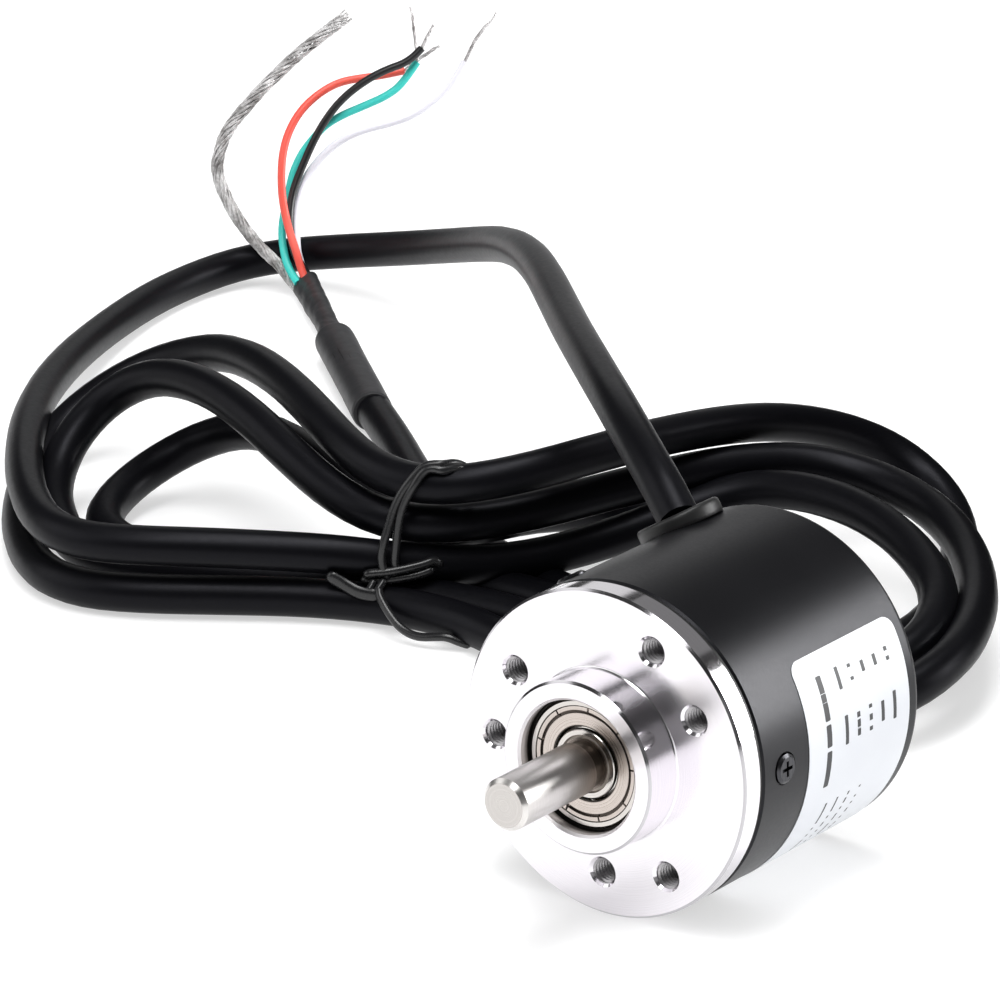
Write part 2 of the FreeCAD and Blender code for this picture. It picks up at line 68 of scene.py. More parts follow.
def mesh_from(name, verts, faces, smooth=True):
    me = bpy.data.meshes.new(name)
    me.from_pydata([tuple(v) for v in verts], [], faces)
    me.validate()
    me.update()
    if smooth:
        me.polygons.foreach_set("use_smooth", [True] * len(me.polygons))
    return me


def spline_curve(name, pts_mm, radius_mm, res=4, bevel_res=5, caps=True):
    cu = bpy.data.curves.new(name, "CURVE")
    cu.dimensions = "3D"
    sp = cu.splines.new("NURBS")
    sp.points.add(len(pts_mm) - 1)
    for p, q in zip(sp.points, pts_mm):
        p.co = (q[0] * MM, q[1] * MM, q[2] * MM, 1.0)
    sp.order_u = 3
    sp.use_endpoint_u = True
    sp.resolution_u = res
    cu.resolution_u = res
    cu.bevel_depth = radius_mm * MM
    cu.bevel_resolution = bevel_res
    cu.use_fill_caps = caps
    return cu


def line_of(pts_mm, res=8):
    # the points along a route's smooth spline, in metres
    cu = spline_curve("line_tmp", pts_mm, 0.0, res=res)
    o = bpy.data.objects.new("line_tmp", cu)
    scene.collection.objects.link(o)
    me = bpy.data.meshes.new_from_object(o)
    line = [v.co.copy() for v in me.vertices]
    bpy.data.objects.remove(o)
    bpy.data.curves.remove(cu)
    bpy.data.meshes.remove(me)
    return line


def frames_along(line):
    # parallel-transported frames along a line of points
    n = len(line)
    tang = []
    for i in range(n):
        t = line[min(i + 1, n - 1)] - line[max(i - 1, 0)]
        tang.append(t.normalized())
    up = Vector((0, 0, 1))
    if abs(tang[0].dot(up)) > 0.9:
        up = Vector((1, 0, 0))
    u = (up - tang[0] * up.dot(tang[0])).normalized()
    out = []
    for t in tang:
        u = (u - t * u.dot(t)).normalized()
        out.append((t, u, t.cross(u)))
    return out


def arc_lengths(line):
    s = [0.0]
    for a, b in zip(line, line[1:]):
        s.append(s[-1] + (b - a).length)
    return s


def sweep(name, line, radius, sides=24, cap=True, wob=None):
    # skin along a line; radius is a function of (arc length, fraction, angle)
    fr = frames_along(line)
    s = arc_lengths(line)
    verts, faces = [], []
    for i, (p, (t, u, v)) in enumerate(zip(line, fr)):
        for k in range(sides):
            a = 2 * math.pi * k / sides
            r = radius(s[i], s[i] / s[-1], a)
            verts.append(p + (u * math.cos(a) + v * math.sin(a)) * r)
    n = len(line)
    for i in range(n - 1):
        for k in range(sides):
            k2 = (k + 1) % sides
            faces.append((i * sides + k, i * sides + k2, (i + 1) * sides + k2, (i + 1) * sides + k))
    if cap:
        faces.append(tuple(reversed(range(sides))))
        faces.append(tuple((n - 1) * sides + k for k in range(sides)))
    return mesh_from(name, verts, faces)


def lathe(name, profile, seg=128, smooth=True, closed=True):
    # profile of (radius, y) in mm, turned about the shaft axis
    verts, faces = [], []
    n = len(profile)
    for k in range(seg):
        a = 2 * math.pi * k / seg
        c, s = math.cos(a), math.sin(a)
        for r, y in profile:
            verts.append((r * c * MM, y * MM, r * s * MM))
    m = n if closed else n - 1
    for k in range(seg):
        k2 = (k + 1) % seg
        for i in range(m):
            j = (i + 1) % n
            faces.append((k * n + i, k2 * n + i, k2 * n + j, k * n + j))
    return mesh_from(name, verts, faces, smooth)


def lathe_about(name, profile, origin, axis, seg=96):
    # closed profile of (radius, height) in mm, turned about any axis
    ax = Vector(axis).normalized()
    u = ax.orthogonal().normalized()
    v = ax.cross(u)
    o = Vector(origin)
    verts, faces = [], []
    n = len(profile)
    for k in range(seg):
        a = 2 * math.pi * k / seg
        d = u * math.cos(a) + v * math.sin(a)
        for r, h in profile:
            verts.append((o + ax * h + d * r) * MM)
    for k in range(seg):
        k2 = (k + 1) % seg
        for i in range(n - 1):
            faces.append((k * n + i, k * n + i + 1, k2 * n + i + 1, k2 * n + i))
    faces.append(tuple(k * n for k in range(seg)))
    faces.append(tuple(k * n + n - 1 for k in reversed(range(seg))))
    return mesh_from(name, verts, faces)


def curved_sheet(y0, y1, a0, a1, r_in, r_out, corner, step_deg=1.5):
    # a thin closed sheet lying on a cylinder round the shaft axis, with
    # rounded corners; sizes in mm and degrees
    ca = math.degrees(corner / r_out)
    st = []
    m = 9
    for i in range(m):
        f = math.pi / 2 * i / (m - 1)
        st.append((a0 + ca * (1 - math.cos(f)), corner * (1 - math.sin(f))))
    k = max(1, int((a1 - a0 - 2 * ca) / step_deg))
    for i in range(1, k):
        st.append((a0 + ca + (a1 - a0 - 2 * ca) * i / k, 0.0))
    for i in range(m):
        f = math.pi / 2 * (m - 1 - i) / (m - 1)
        st.append((a1 - ca * (1 - math.cos(f)), corner * (1 - math.sin(f))))
    verts, faces = [], []
    for ang, cut in st:
        c, q = math.cos(math.radians(ang)), math.sin(math.radians(ang))
        for r, y in ((r_in, y0 + cut), (r_out, y0 + cut), (r_out, y1 - cut), (r_in, y1 - cut)):
            verts.append((r * c * MM, y * MM, r * q * MM))
    n = len(st)
    for i in range(n - 1):
        for j in range(4):
            j2 = (j + 1) % 4
            faces.append((i * 4 + j, (i + 1) * 4 + j, (i + 1) * 4 + j2, i * 4 + j2))
    faces.append((0, 1, 2, 3))
    faces.append(tuple((n - 1) * 4 + j for j in (3, 2, 1, 0)))
    return verts, faces


def joined(name, parts, smooth=True):
    # several closed skins as one mesh
    verts, faces = [], []
    for v, f in parts:
        b = len(verts)
        verts += list(v)
        faces += [tuple(i + b for i in q) for q in f]
    return mesh_from(name, verts, faces, smooth)


def skin(line, radius_mm, sides=12, flat=1.0, taper=0.0):
    # round wire along a line, as vertices and faces; the ends are rounded
    fr = frames_along(line)
    s = arc_lengths(line)
    verts, faces = [], []
    r0 = radius_mm * MM
    for i, (p, (t, u, v)) in enumerate(zip(line, fr)):
        e = min(s[i], s[-1] - s[i])
        k = 1.0 if e >= r0 else math.sqrt(max(0.09, 1 - (1 - e / r0) ** 2))
        k *= 1.0 - taper * s[i] / s[-1]
        for j in range(sides):
            a = 2 * math.pi * j / sides
            verts.append(p + (u * math.cos(a) + v * math.sin(a) * flat) * r0 * k)
    n = len(line)
    for i in range(n - 1):
        for j in range(sides):
            j2 = (j + 1) % sides
            faces.append((i * sides + j, i * sides + j2, (i + 1) * sides + j2, (i + 1) * sides + j))
    faces.append(tuple(reversed(range(sides))))
    faces.append(tuple((n - 1) * sides + j for j in range(sides)))
    return verts, faces


def sharpen(o, deg=30):
    # smooth shading with the edges above an angle kept crisp
    me = o.data
    bm = bmesh.new()
    bm.from_mesh(me)
    for e in bm.edges:
        e.smooth = not (len(e.link_faces) == 2 and e.calc_face_angle(0) > math.radians(deg))
    for f in bm.faces:
        f.smooth = True
    bm.to_mesh(me)
    bm.free()


# ---------------------------------------------------------------- materials
def new_mat(name):
    m = bpy.data.materials.new(name)
    m.use_nodes = True
    nt = m.node_tree
    b = nt.nodes["Principled BSDF"]
    return m, nt, b


def node(nt, kind, **props):
    n = nt.nodes.new(kind)
    for k, v in props.items():
        setattr(n, k, v)
    return n


def coords(nt):
    return node(nt, "ShaderNodeTexCoord").outputs["Object"]


def ramp(nt, fac, stops):
    r = node(nt, "ShaderNodeValToRGB")
    e = r.color_ramp.elements
    while len(e) < len(stops):
        e.new(0.5)
    for el, (p, c) in zip(e, stops):
        el.position = p
        el.color = (c, c, c, 1) if not hasattr(c, "__len__") else (*c, 1)
    nt.links.new(fac, r.inputs["Fac"])
    return r.outputs["Color"]


def noise_fac(nt, vec, scale, detail=4.0, rough=0.55):
    n = node(nt, "ShaderNodeTexNoise")
    n.inputs["Scale"].default_value = scale
    n.inputs["Detail"].default_value = detail
    n.inputs["Roughness"].default_value = rough
    nt.links.new(vec, n.inputs["Vector"])
    return n.outputs["Fac"]


def bump(nt, b, height, strength, dist):
    n = node(nt, "ShaderNodeBump")
    n.inputs["Strength"].default_value = strength
    n.inputs["Distance"].default_value = dist
    nt.links.new(height, n.inputs["Height"])
    nt.links.new(n.outputs["Normal"], b.inputs["Normal"])
    return n


def mix_math(nt, op, a, b=None):
    n = node(nt, "ShaderNodeMath", operation=op)
    for i, x in enumerate((a, b)):
        if x is None:
            continue
        if isinstance(x, (int, float)):
            n.inputs[i].default_value = x
        else:
            nt.links.new(x, n.inputs[i])
    return n.outputs[0]


def band(nt, v, lo, hi, soft_lo, soft_hi):
    # 1 between two heights or radii in mm, falling softly to 0 outside them
    ends = []
    for a, b, t0, t1 in ((lo - soft_lo, lo, 0.0, 1.0), (hi, hi + soft_hi, 1.0, 0.0)):
        n = node(nt, "ShaderNodeMapRange", interpolation_type="SMOOTHSTEP")
        for k, x in (("From Min", a * MM), ("From Max", b * MM), ("To Min", t0), ("To Max", t1)):
            n.inputs[k].default_value = x
        nt.links.new(v, n.inputs["Value"])
        ends.append(n.outputs["Result"])
    return mix_math(nt, "MULTIPLY", ends[0], ends[1])


def turned_metal(name, dark, light, rough, lines=9000.0, bump_d=0.000004, strength=0.5, metallic=1.0, aniso=0.0, wall=None, painted_shade_zones=()):
    # machining lines: rings on faces, circles round cylinders; the cylinder
    # walls may be cut finer than the faces, and zones by radius and height get
    # painted shade, a darker colour standing in for shade in grooves, gaps,
    # recesses and at edges, and may be duller
    m, nt, b = new_mat(name)
    co = coords(nt)
    sep = node(nt, "ShaderNodeSeparateXYZ")
    nt.links.new(co, sep.inputs[0])
    x2 = mix_math(nt, "MULTIPLY", sep.outputs[0], sep.outputs[0])
    z2 = mix_math(nt, "MULTIPLY", sep.outputs[2], sep.outputs[2])
    r = mix_math(nt, "SQRT", mix_math(nt, "ADD", x2, z2))
    w = mix_math(nt, "ADD", r, mix_math(nt, "MULTIPLY", sep.outputs[1], 0.73))
    n1 = node(nt, "ShaderNodeTexNoise", noise_dimensions="1D")
    n1.inputs["Scale"].default_value = lines
    n1.inputs["Detail"].default_value = 3.0
    nt.links.new(w, n1.inputs["W"])
    big = noise_fac(nt, co, 160.0, 3.0)
    col = ramp(nt, n1.outputs["Fac"], [(0.3, dark), (0.7, light)])
    extra = None
    # painted shade: each zone mixes in a darker colour where shade falls
    for in_r, in_y, shade_dark, shade_light, z_rough in painted_shade_zones:
        shade_mask = mix_math(nt, "MULTIPLY", band(nt, r, *in_r), band(nt, sep.outputs[1], *in_y))
        if z_rough:
            part = mix_math(nt, "MULTIPLY", shade_mask, z_rough)
            extra = part if extra is None else mix_math(nt, "MAXIMUM", extra, part)
        mx = node(nt, "ShaderNodeMix", data_type="RGBA")
        nt.links.new(shade_mask, mx.inputs[0])
        nt.links.new(col, mx.inputs[6])
        nt.links.new(ramp(nt, n1.outputs["Fac"], [(0.3, shade_dark), (0.7, shade_light)]), mx.inputs[7])
        col = mx.outputs[2]
    nt.links.new(col, b.inputs["Base Color"])
    rr = mix_math(nt, "ADD", mix_math(nt, "MULTIPLY", n1.outputs["Fac"], 0.10), mix_math(nt, "MULTIPLY", big, 0.08))
    if extra is not None:
        rr = mix_math(nt, "ADD", rr, extra)
    if wall is None:
        nt.links.new(mix_math(nt, "ADD", rr, rough - 0.09), b.inputs["Roughness"])
    else:
        nrm = node(nt, "ShaderNodeTexCoord").outputs["Normal"]
        sn = node(nt, "ShaderNodeSeparateXYZ")
        nt.links.new(nrm, sn.inputs[0])
        face = mix_math(nt, "MULTIPLY", sn.outputs[1], sn.outputs[1])
        base = mix_math(nt, "ADD", mix_math(nt, "MULTIPLY", face, rough - wall), wall - 0.09)
        nt.links.new(mix_math(nt, "ADD", rr, base), b.inputs["Roughness"])
    b.inputs["Metallic"].default_value = metallic
    if aniso:
        # ground round the axis, so highlights spread along it
        tg = node(nt, "ShaderNodeTangent", direction_type="RADIAL", axis="Y")
        nt.links.new(tg.outputs["Tangent"], b.inputs["Tangent"])
        b.inputs["Anisotropic"].default_value = aniso
        b.inputs["Anisotropic Rotation"].default_value = 0.25
    bump(nt, b, n1.outputs["Fac"], strength, bump_d)
    return m


def plastic(name, dark, light, rough, scale=900.0, bump_d=0.00001, strength=0.4, big_scale=60.0, spec=0.5, coat=0.0, tint=None):
    m, nt, b = new_mat(name)
    co = coords(nt)
    fine = noise_fac(nt, co, scale, 5.0)
    big = noise_fac(nt, co, big_scale, 3.0)
    nt.links.new(ramp(nt, big, [(0.3, dark), (0.7, light)]), b.inputs["Base Color"])
    rr = mix_math(nt, "ADD", mix_math(nt, "MULTIPLY", fine, 0.14), mix_math(nt, "MULTIPLY", big, 0.10))
    nt.links.new(mix_math(nt, "ADD", rr, rough - 0.12), b.inputs["Roughness"])
    b.inputs["Specular IOR Level"].default_value = spec
    b.inputs["Coat Weight"].default_value = coat
    if tint:
        b.inputs["Specular Tint"].default_value = (*tint, 1.0)
    bump(nt, b, fine, strength, bump_d)
    return m


M_ALU = turned_metal("turned_aluminium", (0.79, 0.77, 0.80), (0.86, 0.84, 0.87), 0.24, bump_d=0.0000015, wall=0.11)
# painted shade: the outer front edge and the boss's front edge get darker bands, and the bore is painted darker to
# nearly black deeper into the bearing recess; the bore wall is also duller
M_FLANGE = turned_metal("turned_flange", (0.80, 0.775, 0.81), (0.87, 0.845, 0.88), 0.21, bump_d=0.0000015, wall=0.10, aniso=0.5,
                        painted_shade_zones=[((18.71, 20.0, 0.01, 0.1), (-1.0, 0.29, 0.1, 0.02), (0.44, 0.43, 0.45), (0.54, 0.53, 0.55), 0.0),
                               ((9.71, 10.05, 0.01, 0.02), (-5.1, -4.72, 0.1, 0.02), (0.46, 0.45, 0.47), (0.56, 0.55, 0.57), 0.0),
                               ((-1.0, 8.04, 0.1, 0.02), (-4.98, -2.0, 0.02, 0.1), (0.76, 0.735, 0.75), (0.83, 0.805, 0.82), 0.30),
                               ((-1.0, 7.95, 0.1, 0.02), (-3.60, -2.0, 0.75, 0.1), (0.34, 0.32, 0.31), (0.46, 0.44, 0.43), 0.30),
                               ((-1.0, 7.95, 0.1, 0.02), (-3.50, -2.0, 0.16, 0.1), (0.03, 0.028, 0.026), (0.06, 0.055, 0.05), 0.30)])
# painted shade: the threads are the flange's aluminium painted darker, for the shade inside the tapped holes
M_THREAD_SHADED = turned_metal("tapped_aluminium_painted_shade", (0.34, 0.33, 0.34), (0.52, 0.51, 0.52), 0.36)
M_STEEL = turned_metal("ground_steel", (0.60, 0.57, 0.54), (0.72, 0.69, 0.66), 0.24, lines=14000.0, bump_d=0.0000015, wall=0.17)
# painted shade and reflection: a brown darkening towards the bearing stands in for the dark parts the shaft reflects
# there, the relief groove is painted nearly black, and the end face is painted darker than the wall
M_SHAFT = turned_metal("ground_shaft", (0.63, 0.61, 0.59), (0.74, 0.72, 0.70), 0.26, lines=14000.0, bump_d=0.0000015, wall=0.32, aniso=0.30,
                       painted_shade_zones=[((-1.0, 3.5, 0.1, 0.1), (-5.3, -3.3, 4.2, 0.1), (0.22, 0.190, 0.170), (0.30, 0.264, 0.238), 0.0),
                              ((-1.0, 2.93, 0.1, 0.03), (-5.24, -3.46, 0.02, 0.02), (0.07, 0.056, 0.046), (0.14, 0.115, 0.095), 0.0),
                              ((-1.0, 3.5, 0.1, 0.1), (-19.0, -17.97, 0.1, 0.01), (0.46, 0.435, 0.415), (0.64, 0.615, 0.595), 0.0)])
M_RING = turned_metal("bearing_steel", (0.56, 0.53, 0.50), (0.68, 0.65, 0.62), 0.18, lines=11000.0, bump_d=0.000002)
# painted shade: dark lines at the ring's inner step and round its outside, where the gap to the boss lies in shade
M_OUTER = turned_metal("outer_ring_steel", (0.56, 0.53, 0.50), (0.68, 0.65, 0.62), 0.18, lines=11000.0, bump_d=0.000002,
                       painted_shade_zones=[((6.5, 6.73, 0.1, 0.01), (-4.0, -2.0, 0.1, 0.1), (0.045, 0.040, 0.036), (0.09, 0.08, 0.07), 0.0),
                              ((7.45, 8.0, 0.02, 0.1), (-3.28, 2.0, 0.04, 0.1), (0.045, 0.040, 0.036), (0.09, 0.08, 0.07), 0.0)])
# painted shade: the crimp groove and the inner edge by the gap to the inner ring are painted dark
M_SHIELD = turned_metal("shield_steel", (0.50, 0.44, 0.40), (0.60, 0.54, 0.50), 0.28, lines=6000.0, bump_d=0.000002,
                        painted_shade_zones=[((5.82, 6.14, 0.01, 0.01), (-4.0, 0.0, 0.1, 0.1), (0.055, 0.046, 0.040), (0.10, 0.086, 0.075), 0.0),
                               ((4.0, 4.42, 0.1, 0.04), (-4.0, 0.0, 0.1, 0.1), (0.030, 0.026, 0.023), (0.06, 0.052, 0.046), 0.0)])
M_SHELL = plastic("black_satin_shell", (0.0010, 0.0010, 0.0015), (0.0017, 0.0017, 0.0024), 0.36, scale=2600.0, bump_d=0.000005, big_scale=40.0, spec=0.28, tint=(0.93, 0.93, 1.0))
M_CABLE = plastic("black_cable", (0.0016, 0.0016, 0.0023), (0.0026, 0.0026, 0.0035), 0.40, scale=1500.0, bump_d=0.000006, big_scale=45.0, spec=0.14, tint=(0.90, 0.90, 1.0))
M_RUBBER = plastic("black_rubber", (0.0060, 0.0060, 0.0062), (0.0100, 0.0100, 0.0102), 0.42, scale=1800.0, bump_d=0.000012, spec=0.4)
M_SLEEVE = plastic("heat_shrink", (0.0150, 0.0150, 0.0165), (0.0220, 0.0220, 0.0240), 0.50, scale=1100.0, bump_d=0.00002, spec=0.36)
M_SCREW = turned_metal("dark_screw", (0.04, 0.04, 0.045), (0.08, 0.08, 0.085), 0.30)
M_BRASS = turned_metal("brass", (0.62, 0.46, 0.20), (0.76, 0.60, 0.30), 0.28)
M_LABEL = plastic("label_film", (0.62, 0.638, 0.675), (0.68, 0.698, 0.73), 0.38, scale=700.0, bump_d=0.000004)
M_INK = plastic("label_ink", (0.020, 0.020, 0.022), (0.035, 0.035, 0.038), 0.5)
M_RED = plastic("lead_red", (0.72, 0.075, 0.052), (0.82, 0.100, 0.070), 0.42)
M_GREEN = plastic("lead_green", (0.030, 0.52, 0.46), (0.045, 0.62, 0.55), 0.42)
M_WHITE = plastic("lead_white", (0.76, 0.75, 0.82), (0.82, 0.81, 0.88), 0.42)
M_BLACK = plastic("lead_black", (0.0090, 0.0090, 0.0098), (0.0150, 0.0150, 0.0160), 0.31)
M_TIE = plastic("tie_coating", (0.0070, 0.0070, 0.0078), (0.0120, 0.0120, 0.0130), 0.27)
M_BOARD = plastic("board_green", (0.010, 0.10, 0.035), (0.016, 0.14, 0.05), 0.40)
M_CHIP = plastic("chip_black", (0.014, 0.014, 0.015), (0.022, 0.022, 0.023), 0.55)
M_CERAM = plastic("ceramic_tan", (0.42, 0.30, 0.18), (0.52, 0.38, 0.24), 0.50)
M_BLUE = plastic("trimmer_blue", (0.02, 0.07, 0.30), (0.03, 0.10, 0.38), 0.35)
M_NYLON = plastic("header_nylon", (0.70, 0.69, 0.64), (0.78, 0.77, 0.72), 0.45)


def tinned(name, dark, light, rough, metallic=0.85):
    # dull tinned copper: tarnish in blotches along fine wires
    m, nt, b = new_mat(name)
    co = coords(nt)
    blot = noise_fac(nt, co, 330.0, 4.0, 0.6)
    fine = noise_fac(nt, co, 2600.0, 2.0)
    mixd = mix_math(nt, "ADD", mix_math(nt, "MULTIPLY", blot, 0.75), mix_math(nt, "MULTIPLY", fine, 0.25))
    nt.links.new(ramp(nt, mixd, [(0.38, dark), (0.62, light)]), b.inputs["Base Color"])
    nt.links.new(mix_math(nt, "ADD", mix_math(nt, "MULTIPLY", blot, 0.2), rough - 0.1), b.inputs["Roughness"])
    b.inputs["Metallic"].default_value = metallic
    bump(nt, b, fine, 0.4, 0.00001)
    return m


M_TIN = tinned("tinned_braid", (0.24, 0.23, 0.225), (0.80, 0.79, 0.79), 0.42, 0.45)
M_TIP = tinned("tinned_tips", (0.40, 0.38, 0.38), (0.80, 0.78, 0.78), 0.36)


def clear_mat(name, tint, alpha_rough):
    m, nt, b = new_mat(name)
    co = coords(nt)
    n = noise_fac(nt, co, 300.0)
    nt.links.new(ramp(nt, n, [(0.3, tint), (0.7, tuple(min(1, c * 1.05) for c in tint))]), b.inputs["Base Color"])
    nt.links.new(mix_math(nt, "ADD", mix_math(nt, "MULTIPLY", n, 0.06), alpha_rough), b.inputs["Roughness"])
    b.inputs["Transmission Weight"].default_value = 0.85
    b.inputs["IOR"].default_value = 1.5
    return m


M_CLEAR = clear_mat("clear_resin", (0.85, 0.88, 0.92), 0.05)
M_DISC = clear_mat("code_disc_film", (0.55, 0.58, 0.62), 0.12)

# -------------------------------------------------------------------- cords
CABLE = [
    # lead
    (-10.3, 28.3, 16.7), (-12.4, 29.5, 18.05), (-14.6, 30.7, 19.4), (-21.45, 35.57, 21.4), (-29.69, 42.73, 22.2), (-38.61, 51.5, 21.47), (-48.63, 62.07, 19.74),
    (-59.85, 74.24, 17.41), (-72.37, 88.11, 14.88), (-85.68, 102.96, 11.99), (-99.4, 117.61, 8.39), (-113.03, 130.72, 3.72), (-126.01, 141.69, -1.59),
    (-138.76, 149.64, -6.4), (-150.9, 154.2, -10.3), (-161.73, 155.44, -13.06), (-170.35, 153.46, -14.79), (-175.47, 148.78, -15.86), (-177.28, 140.89, -16.5),
    (-176.2, 129.79, -16.5), (-172.19, 115.87, -16.2),
    # left turn
    (-165.26, 100.15, -14.93), (-155.95, 83.86, -13.2), (-145.31, 68.64, -11.5), (-134.76, 55.7, -10.4), (-125.45, 45.88, -9.9), (-117.78, 39.44, -10),
    (-111.6, 36.3, -10), (-105.9, 36.2, -10), (-99.9, 38.6, -9.8), (-93.3, 42.8, -9.8), (-86.6, 47.6, -10.1), (-80.8, 52.1, -10.6),
    (-76.3, 55.9, -11.4),
    # right inner loop
    (-72.4, 59.8, -12.3), (-68.2, 64.6, -13), (-63.9, 70.3, -13.1), (-59.62, 76.53, -12.21), (-55.34, 82.85, -10.52), (-51.36, 88.08, -8.53),
    (-47.58, 91.8, -6.75), (-43.08, 93.9, -5.65), (-37.38, 94.7, -5.25), (-30.5, 94.16, -5.45), (-23.23, 91.91, -6.25), (-16.36, 88.12, -7.47),
    (-10.58, 83.12, -8.49), (-6.81, 77.25, -9.5), (-5.5, 70.87, -10.9), (-7.3, 64.5, -12.7), (-12.1, 59.2, -14.7), (-19.2, 56.1, -16),
    (-27.9, 55.8, -16.5), (-37.8, 57.7, -16.5), (-48.6, 60.1, -16.3), (-60.1, 61, -16.2),
    # hidden return
    (-71.7, 59.4, -16.3), (-82.7, 55.8, -16.5), (-93, 51.4, -16.5), (-101.9, 47.4, -16.3), (-108.5, 45.3, -16.4), (-114, 45.5, -16.5),
    (-119.3, 47.5, -16.4), (-124.5, 50.9, -15.7), (-129, 54.9, -14.4), (-131.97, 59.22, -12.62),
    # low hump
    (-133.02, 63.43, -9.71), (-131.87, 67.07, -6.39), (-128.65, 69.16, -3.41), (-123.97, 69.42, -1.05), (-117.61, 68.2, 0.38), (-110.04, 65.96, 0.7),
    (-101.79, 63.12, -0.4), (-93.47, 60.21, -2.56), (-85.52, 58.35, -5.05), (-78.55, 58.26, -6.83), (-72.8, 60.6, -7.4),
    # right middle loop
    (-67.91, 65.32, -7.34), (-62.93, 72.63, -6.68), (-57.35, 82.16, -5.29), (-51.87, 91.39, -4.3), (-47.18, 98.5, -4.24), (-42.39, 103.12, -4.78),
    (-36.69, 105.49, -5.81), (-30.28, 105.56, -6.85), (-23.57, 103.11, -7.71), (-16.96, 98.37, -8.47), (-10.99, 91.97, -9.08), (-5.72, 84.57, -9.5),
    (-1.75, 76.79, -9.91), (0.51, 69.18, -10.61), (0.05, 61.79, -12.06), (-3.8, 55, -14.1), (-10.6, 50, -15.8), (-19.9, 47.7, -16.5),
    (-30.6, 47.9, -16.5), (-41.7, 49.9, -16.4), (-51.9, 52.8, -16.4), (-60.6, 55.3, -16.3),
    # front strand
    (-68.81, 55.52, -16.34), (-76.43, 53.53, -16.38), (-83.79, 49.76, -16.28), (-91.56, 44.48, -16.28), (-99.43, 39.01, -16.28), (-106.53, 35.89, -16.38),
    (-113.03, 36.26, -16.38), (-120, 40.11, -16.5), (-127.44, 46.75, -16.5), (-134.69, 55.12, -16.5), (-140.69, 64.06, -16.1),
    # high hump
    (-144, 72.2, -14.3), (-143.63, 79.04, -11.37), (-139.66, 83.37, -7.85), (-132.96, 84.77, -4.35), (-124.55, 83.27, -1.31), (-115.18, 79.13, 0.48),
    (-105.23, 73.68, 1.04), (-95.52, 67.79, 0.64), (-86.73, 62.59, -0.29), (-78.76, 59.4, -1.38), (-71.6, 59.4, -1.7),
    # right outer loop
    (-65.93, 62.43, -0.98), (-61.35, 68.07, -0.07), (-57.68, 75.91, 0.78), (-54.62, 84.85, 1.13), (-52.04, 94.18, 0.62), (-50.16, 102.51, -0.68),
    (-48.3, 109.52, -2.61), (-45.84, 115.03, -4.74), (-42.62, 118.69, -6.99), (-38.38, 120.21, -9.48), (-33.68, 119.28, -11.92), (-28.89, 115.66, -14.1),
    (-24.5, 109.68, -15.5), (-20.55, 102.07, -16.3), (-17.4, 93.55, -16.5), (-15.5, 84.87, -16.4), (-16.1, 76.7, -16.4), (-19.6, 70.1, -16.5),
    (-26.2, 66.2, -16.5), (-35.7, 65.2, -16.5), (-47, 66, -16.3), (-58.3, 67, -16), (-68, 67, -16.2),
    # hidden return
    (-76.9, 64.9, -16.5), (-86.2, 60.6, -16.5), (-95, 56, -16.5), (-102.2, 52.8, -16.2), (-108.1, 51.1, -16.3), (-114, 51.3, -16.5),
    (-119.7, 54, -16.5), (-123.94, 59.59, -16.44),
    # inner left strand
    (-125.74, 66.35, -15.33), (-124.84, 72.35, -13.43), (-121.24, 75.77, -10.93), (-114.93, 76.21, -8.21), (-106.1, 73.72, -6.4), (-95.75, 69.46, -7),
    (-85.3, 65.6, -9.2), (-76.6, 65.3, -10.6),
    # back loop
    (-70.9, 70.4, -9.9), (-67.7, 78.8, -9.9), (-65.4, 87.8, -12.2), (-61.9, 95.7, -15), (-56, 101.1, -16.3), (-48.3, 102.7, -16.5),
    (-40.5, 99.6, -16.4), (-34.7, 92.9, -16.5), (-32.9, 84.4, -16.5), (-35.9, 76.5, -16.5), (-42.7, 71.4, -16.5), (-51.6, 69.9, -16.3),
    (-61.5, 71.6, -16.3), (-71.82, 75.36, -16.5), (-82.55, 80.82, -16.5),
    # tail
    (-92.87, 87.78, -16.3), (-102.28, 95.74, -16.4), (-111.39, 103.56, -16.3), (-120.87, 110.89, -16.1), (-130.06, 118.68, -15.74), (-139.11, 126.69, -15.87),
]
cable = add("cable", spline_curve("cable", CABLE, 2.5, res=3, bevel_res=6), M_CABLE, replaces=("cable_lead", "cable_hank", "cable_tail"))

RED = [(-162.96, 148.49, -15.8), (-163.86, 148.79, -14.8), (-165.1, 149.1, -12.2), (-167.6, 150.3, -9.1), (-169.3, 151.2, -5.7),
       (-170.3, 152.2, -2.5), (-171.1, 153.6, 0.7), (-171.4, 155.5, 3.5), (-171, 157.8, 6.1), (-170, 160.8, 8.1),
       (-168.7, 163.8, 9.3), (-166.6, 166.3, 9.7), (-164.4, 168.2, 10), (-161.8, 170.5, 10.7)]
GREEN = [(-163.68, 147.75, -16.39), (-164.98, 148.36, -15.85), (-167, 149, -14.1), (-169.52, 151.16, -11.3), (-170.6, 152.9, -8.9),
         (-170.8, 154.3, -6.4), (-171.1, 155.4, -4), (-171.1, 156.6, -2), (-170.7, 158, 0), (-169.8, 159.5, 1.9),
         (-168.7, 160.7, 3.6), (-166.7, 162.2, 5.1), (-164.3, 164.3, 6.4), (-161.9, 166.4, 7.8), (-160.5, 168.4, 9.4),
         (-159.5, 170.5, 12.4)]
